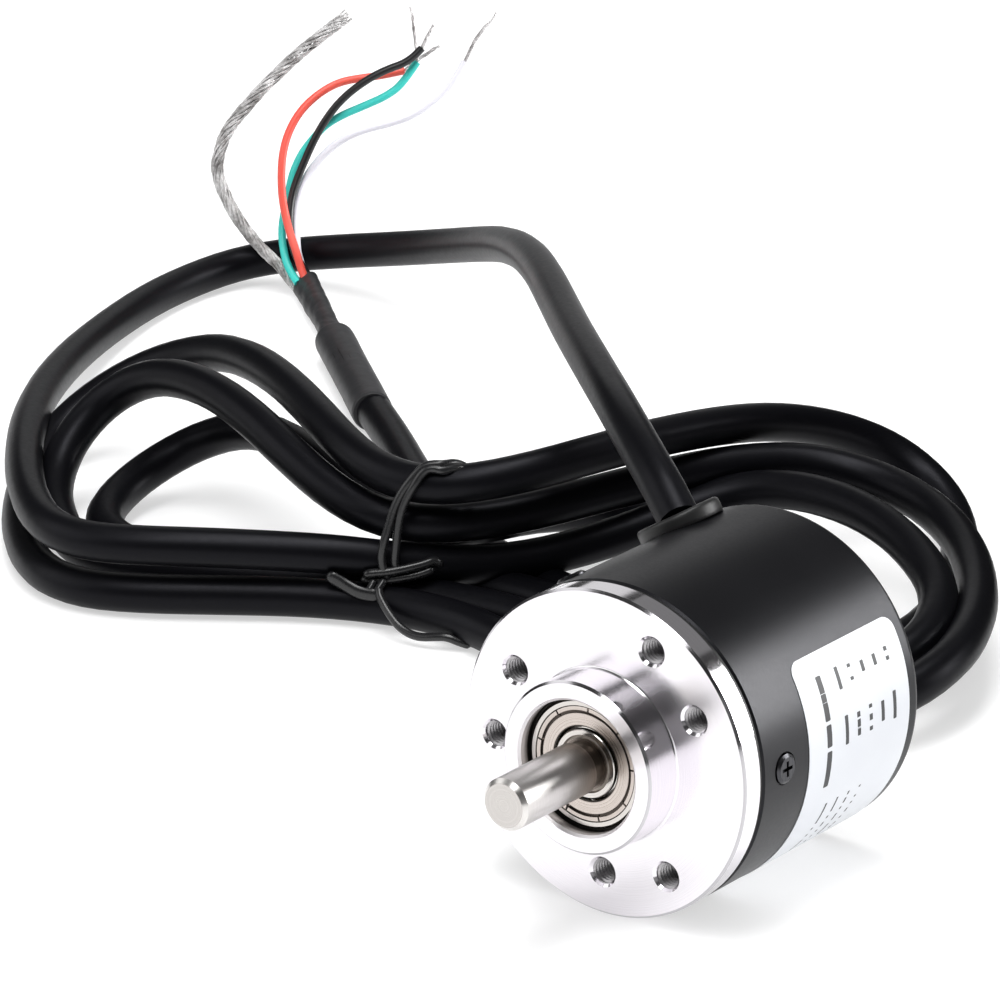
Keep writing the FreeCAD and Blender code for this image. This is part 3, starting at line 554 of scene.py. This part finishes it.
BLACK = [(-162.28, 149.19, -16.51), (-163.03, 149.85, -16.35), (-164.4, 150.17, -15.15), (-165.89, 149.72, -13), (-167.89, 151.12, -10.1),
         (-169.04, 152.52, -7.5), (-169.5, 153.9, -4.9), (-169.4, 155.7, -2.1), (-168.9, 157.9, 1.6), (-168, 159.6, 4.6),
         (-166.6, 161.6, 7.5), (-164.4, 164, 10), (-162.1, 166.3, 11.7), (-159.4, 168.9, 12.9), (-158.5, 170.4, 14.7)]
WHITE = [(-162.47, 148.99, -17.69), (-163.44, 150, -17.52), (-164.86, 150.91, -16.15), (-166.25, 150.97, -13.7), (-167.21, 151.77, -11.5),
         (-168.77, 153.65, -8.5), (-169.55, 155.68, -5), (-168.72, 157.56, -2), (-166.6, 160.1, 1.2), (-163.9, 162.4, 3.1),
         (-160.9, 165.2, 4), (-158.2, 167.8, 5.1), (-156.2, 170.5, 7.2), (-154.5, 173.1, 9.7), (-154, 174.8, 12.4)]
SHIELD = [(-163.47, 147.97, -17.77), (-164.74, 148.82, -17.62), (-166.37, 149.16, -16.65), (-167.98, 149.14, -15.1), (-171.28, 148.64, -12.8),
          (-175, 148.6, -9.8), (-177.3, 148.3, -6.6), (-179.2, 148.4, -3.2), (-179.6, 149, -0.7), (-179.3, 150.4, 2.7),
          (-178.2, 152.8, 5.6), (-176.5, 155.9, 8.9), (-174.5, 159, 12.1), (-172, 162.4, 15.4), (-168.8, 166.4, 18.8)]
TIPS = {"green": [(-159.5, 170.5, 12.4), (-159.8, 170.9, 13.8), (-160.8, 171.5, 16.5), (-161.7, 172.1, 20)],
        "black": [(-158.5, 170.4, 14.7), (-158.3, 171.3, 16.3), (-157.8, 172.4, 17.7)],
        "red": [(-161.8, 170.5, 10.7), (-160.6, 172.1, 12.2), (-159.6, 173.3, 13.1), (-158.5, 174.6, 14.2)],
        "white": [(-154, 174.8, 12.4), (-153.7, 175.8, 14.3), (-153.2, 177.1, 16.2), (-151.8, 179.5, 19.1)]}
for wname, pts, mat in (("red", RED, M_RED), ("green", GREEN, M_GREEN), ("black", BLACK, M_BLACK), ("white", WHITE, M_WHITE)):
    add("lead_" + wname, spline_curve("lead_" + wname, pts, 0.58, res=6, bevel_res=4), mat, replaces=("wire_" + wname,))


def strands(name, line, count, ring_mm, strand_mm, pitch_mm, fray=0.0, swell=0.0, core_mm=0.0):
    # thin wires laid helically round a line; they loosen towards the end
    fr = frames_along(line)
    s = arc_lengths(line)
    verts, faces = [], []
    sides = 6
    for c in range(count):
        base = len(verts)
        pts = []
        stop = len(line) - (int(fray * 9 * (0.5 + 0.5 * math.sin(5.3 * c))) if fray else 0)
        for i, (p, (t, u, v)) in enumerate(zip(line[:stop], fr)):
            f = s[i] / s[-1]
            a = 2 * math.pi * (c / count + s[i] / (pitch_mm * MM)) + 0.25 * math.sin(40.0 * f + 2.4 * c)
            k = 1.0 + swell * min(1.0, f / 0.3) + 0.10 * math.sin(23.0 * f + 1.7 * c)
            if fray:
                k += fray * max(0.0, (f - 0.86) / 0.14) ** 2 * math.sin(3.1 * c + 1.0)
            pts.append(p + (u * math.cos(a) + v * math.sin(a)) * ring_mm * MM * k)
        f2 = frames_along(pts)
        for p, (t, u, v) in zip(pts, f2):
            for k in range(sides):
                b = 2 * math.pi * k / sides
                verts.append(p + (u * math.cos(b) + v * math.sin(b)) * strand_mm * MM)
        n = len(pts)
        for i in range(n - 1):
            for k in range(sides):
                k2 = (k + 1) % sides
                faces.append((base + i * sides + k, base + i * sides + k2, base + (i + 1) * sides + k2, base + (i + 1) * sides + k))
        faces.append(tuple(base + k for k in reversed(range(sides))))
        faces.append(tuple(base + (n - 1) * sides + k for k in range(sides)))
    if core_mm:
        cv, cf = skin(line[:int(len(line) * 0.9)], core_mm, 14)
        base = len(verts)
        verts += cv
        faces += [tuple(base + q for q in f) for f in cf]
    return mesh_from(name, verts, faces)


sh_line = line_of(SHIELD, 14)
braid = add("lead_braid", strands("lead_braid", sh_line, 24, 0.62, 0.13, 15.0, fray=0.3, swell=0.24, core_mm=0.66), M_TIN, replaces=("wire_shield",))
tips = []
for wname, pts in TIPS.items():
    tips.append(strands("tip_" + wname, line_of(pts, 10), 5, 0.17, 0.115, 6.5, fray=0.9))
bm = bmesh.new()
for t in tips:
    bm.from_mesh(t)
tip_me = bpy.data.meshes.new("lead_tips")
bm.to_mesh(tip_me)
bm.free()
tip_me.polygons.foreach_set("use_smooth", [True] * len(tip_me.polygons))
lead_tips = add("lead_tips", tip_me, M_TIP, replaces=("wire_tips",))

# ------------------------------------------------------------ heat shrink
SLEEVE_L = [(-119.44, 109.46, -16.1), (-127.6, 116.71, -16.1), (-135.5, 123.73, -16.1), (-142.62, 130.06, -16.1)]
SLEEVE_S = [(-142.04, 129.67, -16.3), (-149.26, 136.3, -16.5), (-156.44, 142.82, -16.6), (-163.6, 149.2, -16.7)]


def between(t, table):
    # smooth value from a table of (position, value)
    for (t0, v0), (t1, v1) in zip(table, table[1:]):
        if t <= t1:
            f = (t - t0) / (t1 - t0)
            f = f * f * (3 - 2 * f)
            return v0 + (v1 - v0) * f
    return table[-1][1]


def sleeve_radius(seed, wr, wide, high, tilt=((0, 0.0), (1, 0.0))):
    # shrunk tube: width and height along its length, soft lumps, rolled ends;
    # a flattened length may lean over by a tilt
    def f(s, t, a):
        a += math.radians(between(t, tilt))
        p = Vector((math.cos(a) * 1.2, math.sin(a) * 1.2, s * 330.0 + seed))
        w = noise.noise(p) * wr + noise.noise(p * 2.1 + Vector((7, 1, 3))) * wr * 0.4
        e = min(t, 1 - t)
        lip = 1.0 - 0.06 * max(0.0, 1 - e / 0.012) ** 2
        rw, rh = between(t, wide), between(t, high)
        r = rw * rh / math.sqrt((rw * math.cos(a)) ** 2 + (rh * math.sin(a)) ** 2)
        return (r * lip + w) * MM
    return f


s_large = add("sleeve_large", sweep("sleeve_large", line_of(SLEEVE_L, 46), sleeve_radius(1.3, 0.03, ((0, 2.84), (0.5, 2.80), (1, 2.86)), ((0, 2.80), (1, 2.80))), 48), M_SLEEVE, replaces=("heat_shrink_large",))
s_small = add("sleeve_small", sweep("sleeve_small", line_of(SLEEVE_S, 46), sleeve_radius(5.1, 0.11, ((0, 2.0), (0.14, 1.98), (0.28, 1.74), (0.42, 1.80), (0.7, 2.0), (1, 2.12)), ((0, 1.95), (0.14, 1.6), (0.28, 1.45), (0.6, 1.4), (1, 1.32)), ((0, 0.0), (0.15, 10.0), (0.32, 62.0), (0.6, 50.0), (1, 46.0))), 52), M_SLEEVE, replaces=("heat_shrink_small",))
for o in (s_large, s_small):
    sharpen(o, 50)

# ---------------------------------------------------------------- twist tie
# a coated wire laid twice over the strands, knotted in front, with one flat
# tail and one slack loop under the front strand
TIE_A = [(-67.6, 64.6, -2.6), (-67.7, 63.6, 0.3), (-68.1, 61.6, 1.5), (-68.6, 59.6, 1.7), (-69.5, 59.1, 1.7), (-70.4, 58.5, 1.5), (-71.1, 57.8, 0.7), (-71.7, 57.0, -0.4),
         (-72.5, 56.3, -1.9), (-73.1, 55.6, -3.8), (-73.4, 55.0, -5.8), (-73.7, 54.3, -8.0), (-73.9, 54.0, -9.7), (-73.8, 54.0, -11.0), (-73.5, 54.2, -12.2), (-73.3, 54.6, -13.0)]
TIE_B = [(-66.7, 64.6, -2.8), (-66.8, 63.5, 0.0), (-67.3, 61.3, 1.2), (-68.2, 59.1, 1.1), (-69.2, 58.8, 1.3), (-70.0, 58.3, 1.2), (-70.6, 57.7, 0.4), (-71.1, 57.0, -0.9),
         (-71.8, 56.5, -2.4), (-72.3, 56.0, -4.1), (-72.5, 55.7, -5.8), (-72.6, 55.4, -7.9), (-72.7, 55.2, -9.8), (-72.8, 55.2, -10.9), (-72.7, 55.5, -12.2)]
TIE_BAR1 = [(-75.6, 52.8, -12.7), (-75.3, 52.9, -12.2), (-74.5, 53.4, -12.1), (-73.0, 54.4, -11.9), (-71.5, 56.0, -11.6), (-70.1, 57.7, -11.2), (-69.5, 58.6, -10.9), (-69.1, 59.3, -11.1), (-69.0, 59.6, -11.8)]
TIE_BAR2 = [(-76.1, 52.8, -12.9), (-75.9, 53.1, -13.3), (-74.4, 54.0, -13.3), (-72.6, 55.3, -13.0), (-71.0, 56.8, -12.7), (-69.9, 57.9, -12.3), (-69.3, 58.7, -11.9)]
TIE_X1 = [(-74.4, 51.8, -14.3), (-74.4, 52.2, -13.9), (-74.4, 52.8, -13.4), (-74.5, 53.3, -12.9)]
TIE_X2 = [(-73.4, 52.0, -14.3), (-73.35, 52.5, -13.9), (-73.3, 53.2, -13.3), (-73.3, 53.9, -12.8)]
TIE_TAIL = [(-79.4, 50.0, -12.4), (-78.2, 50.5, -13.0), (-77.0, 50.9, -13.6), (-75.5, 51.2, -14.2), (-73.9, 51.8, -14.4), (-72.9, 52.2, -14.3)]
TIE_LOOP = [(-73.4, 52.9, -13.6), (-73.0, 52.2, -14.2), (-71.7, 51.6, -15.1), (-70.2, 51.2, -16.2), (-68.8, 50.9, -17.1), (-67.1, 50.9, -17.7), (-65.5, 51.1, -17.8), (-63.8, 51.6, -17.5),
            (-62.3, 52.2, -17.3), (-60.8, 52.9, -17.9), (-59.6, 53.6, -18.3)]
tie_parts = []
for pts, r, flat in ((TIE_A, 0.56, 1.0), (TIE_B, 0.56, 1.0), (TIE_BAR1, 0.58, 1.0), (TIE_BAR2, 0.58, 1.0), (TIE_X1, 0.5, 1.0), (TIE_X2, 0.5, 1.0), (TIE_TAIL, 0.85, 0.5), (TIE_LOOP, 0.54, 1.0)):
    tie_parts.append(skin(line_of(pts, 8), r, 12, flat))
tie = add("twist_wire", joined("twist_wire", tie_parts), M_TIE, replaces=("twist_tie",))

# ------------------------------------------------------------------ grommet
GA = math.radians(122.0)
gax = (math.cos(GA), 0.0, math.sin(GA))
gprof = [(0.0001, 20.42), (4.55, 20.42), (4.72, 20.39), (4.88, 20.30), (4.98, 20.17), (5.04, 20.0), (5.06, 19.75), (5.06, 19.1), (5.02, 18.75), (4.9, 18.6), (3.5, 18.55), (3.5, 16.9), (3.3, 16.8), (0.0001, 16.8)]
grommet = add("grommet", lathe_about("grommet", gprof, (0, 28.4, 0), gax), M_RUBBER, replaces=("cable_grommet",))
sharpen(grommet, 40)

# ------------------------------------------------------- finishes of the CAD
FINISH = {
    "front_flange": M_FLANGE, "flange_seal": M_RUBBER, "housing_shell": M_SHELL, "shell_screws": M_SCREW, 
    "inner_cable": M_CABLE, "cable_crimp": M_BRASS, "inner_leads": M_WHITE, "wire_header": M_NYLON,
    "front_bearing_outer": M_OUTER, "rear_bearing_outer": M_RING, "front_bearing_shields": M_SHIELD, "rear_bearing_shields": M_SHIELD,
    "front_bearing_inner": M_RING, "rear_bearing_inner": M_RING, "front_bearing_cage": M_BRASS, "rear_bearing_cage": M_BRASS,
    "front_bearing_balls": M_RING, "rear_bearing_balls": M_RING, "wave_washer": M_STEEL, "retaining_ring": M_STEEL,
    "encoder_shaft": M_SHAFT, "bearing_spacer": M_STEEL, "shaft_shim": M_STEEL, "shaft_circlip": M_STEEL, "disc_hub": M_ALU, "hub_set_screws": M_SCREW,
    "code_disc": M_DISC, "disc_clamp_ring": M_ALU, "led_holder": M_CHIP, "led_holder_screws": M_STEEL, "led_emitter": M_CLEAR, "photo_sensor": M_CHIP,
    "reticle_plate": M_CLEAR, "circuit_board": M_BOARD, "board_standoffs": M_BRASS, "board_screws": M_STEEL, "comparator_chip": M_CHIP, "driver_chips": M_CHIP,
    "chip_resistors": M_CHIP, "chip_capacitors": M_CERAM, "tank_capacitor": M_ALU, "gain_trimmer": M_BLUE,
}
for n, m in FINISH.items():
    NODES[n].material_slots[0].material = m

# -------------------------------------------------------------------- label
label = add("label_sheet", joined("label_sheet", [curved_sheet(12.1, 31.7, -75.0, 33.5, 19.012, 19.085, 1.6)]), M_LABEL, replaces=("label",))
sharpen(label, 40)
bars = []


def bar(y, a_mid, length, thick):
    half = math.degrees(length / 19.09) / 2
    bars.append(curved_sheet(y - thick / 2, y + thick / 2, a_mid - half, a_mid + half, 19.075, 19.094, min(thick, length) * 0.2, 3.0))


# a plain legend of bars: one heading, five rows in two columns, small lines
for a_mid, ln in ((18.0, 5.2), (5.0, 2.6), (-7.0, 4.4)):
    bar(16.0, a_mid, ln, 0.95)
for i, (l1, l2) in enumerate(((2.6, 3.4), (1.9, 2.8), (1.3, 3.1), (1.3, 2.4), (1.6, 3.3))):
    bar(19.4 + 2.35 * i, 22.0, l1, 0.62)
    bar(19.4 + 2.35 * i, 4.0, l2, 0.62)
for i, row in enumerate(((3.2, 1.6, 2.4), (2.2, 2.9, 1.5), (2.8, 1.2, 2.2), (1.8, 3.0, 1.4))):
    at = -22.0
    for ln in row:
        bar(17.6 + 2.2 * i, at - math.degrees(ln / 19.09) / 2, ln, 0.34)
        at -= math.degrees((ln + 0.7) / 19.09)
marks = add("label_marks", joined("label_marks", bars), M_INK)
sharpen(marks, 40)

# ------------------------------------------------------------------ threads
def thread_mesh(name):
    verts, faces = [], []
    pitch, turns, per = 0.5, 13, 28
    prof = [(1.53, -0.21), (1.27, -0.045), (1.27, 0.045), (1.53, 0.21)]
    for pr, angs in ((14.0, (30, 150, 270)), (15.0, (65, 185, 305))):
        for ang in angs:
            cx, cz = pr * math.cos(math.radians(ang)), pr * math.sin(math.radians(ang))
            base = len(verts)
            steps = turns * per
            for i in range(steps + 1):
                a = 2 * math.pi * i / per + ang
                y = 0.28 + pitch * i / per
                fade = min(1.0, i / (per * 0.6), (steps - i) / (per * 0.6))
                for r, dy in prof:
                    rr = 1.53 + (r - 1.53) * fade
                    verts.append(((cx + rr * math.cos(a)) * MM, (y + dy * (0.15 + 0.85 * fade)) * MM, (cz - rr * math.sin(a)) * MM))
            for i in range(steps):
                for k in range(4):
                    q, q2 = base + i * 4 + k, base + i * 4 + (k + 1) % 4
                    faces.append((q, q2, q2 + 4, q + 4))
            faces.append((base + 3, base + 2, base + 1, base))
            faces.append(tuple(base + steps * 4 + k for k in range(4)))
    return mesh_from(name, verts, faces)


threads = add("hole_threads", thread_mesh("hole_threads"), M_THREAD_SHADED)
sharpen(threads, 25)

# --------------------------------------------------------------- boss fillet
# the small radius that the cutter leaves between the boss and the face
fil = [(9.98, 0.02), (10.254, 0.02)]
for k in range(7):
    t = math.radians(90.0 + 15.0 * k)
    fil.append((10.254 + 0.25 * math.cos(t), -0.254 + 0.25 * math.sin(t)))
fil.append((9.98, -0.254))
fillet = add("boss_fillet", lathe("boss_fillet", fil, 192), M_ALU)
sharpen(fillet, 40)

# -------------------------------------------------------------------- stage
fl = bpy.data.meshes.new("floor")
fl.from_pydata([(-6, -6, -0.0191), (6, -6, -0.0191), (6, 6, -0.0191), (-6, 6, -0.0191)], [], [(0, 1, 2, 3)])
floor = bpy.data.objects.new("floor", fl)
scene.collection.objects.link(floor)
mf, nt, b = new_mat("pale_floor")
b.inputs["Base Color"].default_value = (0.50, 0.50, 0.502, 1)
b.inputs["Emission Color"].default_value = (1.0, 1.0, 1.0, 1)
b.inputs["Emission Strength"].default_value = 0.55
b.inputs["Roughness"].default_value = 0.9
b.inputs["Specular IOR Level"].default_value = 0.1
fl.materials.append(mf)

# a dark card beside the hank keeps the side light off its loops; out of view
cd = bpy.data.meshes.new("light_flag")
cd.from_pydata([(-0.045, 0.150, -0.0185), (0.096, 0.150, -0.0185), (0.096, 0.150, 0.050), (-0.045, 0.150, 0.050)], [], [(0, 1, 2, 3)])
flag = bpy.data.objects.new("light_flag", cd)
scene.collection.objects.link(flag)
mc, nt, b = new_mat("dark_card")
b.inputs["Base Color"].default_value = (0.02, 0.02, 0.02, 1)
b.inputs["Roughness"].default_value = 0.9
cd.materials.append(mc)
flag.visible_camera = False


def area(name, loc, target, size, radiance, color=(1, 1, 1), glossy=True):
    d = bpy.data.lights.new(name, "AREA")
    d.shape = "RECTANGLE"
    d.size, d.size_y = size
    d.energy = radiance * math.pi * size[0] * size[1]
    d.color = color
    o = bpy.data.objects.new(name, d)
    scene.collection.objects.link(o)
    o.location = loc
    o.rotation_mode = "QUATERNION"
    o.rotation_quaternion = (Vector(target) - Vector(loc)).to_track_quat("-Z", "Y")
    o.visible_glossy = glossy
    return o


area("top_box", (-0.05, 0.05, 1.1), (-0.05, 0.05, 0), (1.6, 1.6), 1.3, glossy=False)
area("top_strip", (0.02, -0.04, 0.95), (0.0, 0.02, 0), (0.30, 0.85), 9.0)
area("front_top", (0.075, -0.60, 0.88), (-0.06, 0.03, 0), (0.38, 0.28), 5.2)
area("left_box", (-0.80, -0.62, 0.50), (-0.02, 0.0, 0), (1.15, 0.75), 1.5)
area("back_card", (-0.56, 0.72, 0.31), (-0.02, 0.02, 0), (0.46, 0.36), 0.70)
area("back_top", (-0.05, 0.80, 0.68), (-0.02, 0.02, 0), (0.75, 0.36), 0.16)
area("side_box", (0.47, 0.62, 0.215), (0, 0.02, 0), (0.40, 0.42), 13.0)
area("front_card", (0.80, -0.98, 0.33), (0, 0, 0), (0.5, 0.5), 0.2)
world = bpy.data.worlds.new("studio")
scene.world = world
world.use_nodes = True
wn = world.node_tree
wn.nodes["Background"].inputs["Color"].default_value = (1, 1, 1, 1)
wn.nodes["Background"].inputs["Strength"].default_value = 0.045
